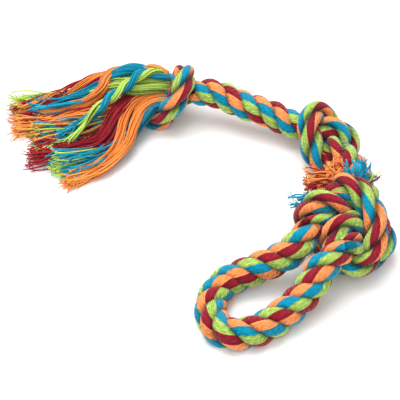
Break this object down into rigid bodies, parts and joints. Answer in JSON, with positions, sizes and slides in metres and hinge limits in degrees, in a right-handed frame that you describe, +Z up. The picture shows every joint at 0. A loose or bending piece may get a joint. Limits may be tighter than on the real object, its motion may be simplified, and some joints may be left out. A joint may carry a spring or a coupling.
{
  "type": "rope tug toy",
  "caption": "Tug toy of thick multi-coloured laid cotton rope with a frayed tassel, overhand knots and a knotted hand loop, for a dog to pull and chew.",
  "frame": {"origin": "bottom centre of the toy's box as it lies on the floor", "axes": "+Z up; +X to the right and +Y to the back, seen as in the picture with the tassel at the left and the hand loop in front"},
  "size_m": [0.2865, 0.2571, 0.0584],
  "materials": {
    "rope_cotton": "soft matt cotton",
    "maroon_cotton": "soft matt cotton",
    "orange_cotton": "soft matt cotton",
    "blue_cotton": "soft matt cotton",
    "green_cotton": "soft matt cotton"
  },
  "bodies": {
    "loop_knot": {"loop_knot_standing_part": "rope_cotton", "loop_knot_tail_part": "rope_cotton", "tail_stub": "rope_cotton", "tuft_orange": "orange_cotton", "tuft_maroon": "maroon_cotton", "tuft_small_blue": "blue_cotton", "tuft_green": "green_cotton", "tuft_blue": "blue_cotton"},
    "hand_loop": {"loop_far_leg": "rope_cotton", "loop_bight": "rope_cotton", "loop_near_leg": "rope_cotton"},
    "middle_run": {"middle_knot": "rope_cotton", "stretch_middle_half": "rope_cotton"},
    "end_run": {"end_knot": "rope_cotton", "stretch_end_half": "rope_cotton"},
    "tassel": {"tassel_throat": "rope_cotton", "tassel_maroon_1": "maroon_cotton", "tassel_maroon_2": "maroon_cotton", "tassel_maroon_3": "maroon_cotton", "tassel_orange_1": "orange_cotton", "tassel_orange_2": "orange_cotton", "tassel_orange_3": "orange_cotton", "tassel_blue_1": "blue_cotton", "tassel_blue_2": "blue_cotton", "tassel_blue_3": "blue_cotton", "tassel_green_1": "green_cotton", "tassel_green_2": "green_cotton", "tassel_green_3": "green_cotton"}
  },
  "joints": [
    {"name": "loop_lift", "type": "hinge", "parent": "loop_knot", "child": "hand_loop", "pos_m": [0.0725, -0.06, 0.027], "axis": [-0.6343, 0.7731, 0], "range_deg": [0, 40]},
    {"name": "neck_bend", "type": "hinge", "parent": "loop_knot", "child": "middle_run", "pos_m": [0.125, 0.012, 0.014], "axis": [0, 0, 1], "range_deg": [-20, 15]},
    {"name": "rope_bend", "type": "hinge", "parent": "middle_run", "child": "end_run", "pos_m": [0.044, 0.0935, 0.022], "axis": [0, 0, 1], "range_deg": [-40, 25]},
    {"name": "tassel_swing", "type": "hinge", "parent": "end_run", "child": "tassel", "pos_m": [-0.049, 0.1, 0.018], "axis": [0, 0, 1], "range_deg": [-25, 25]}
  ]
}
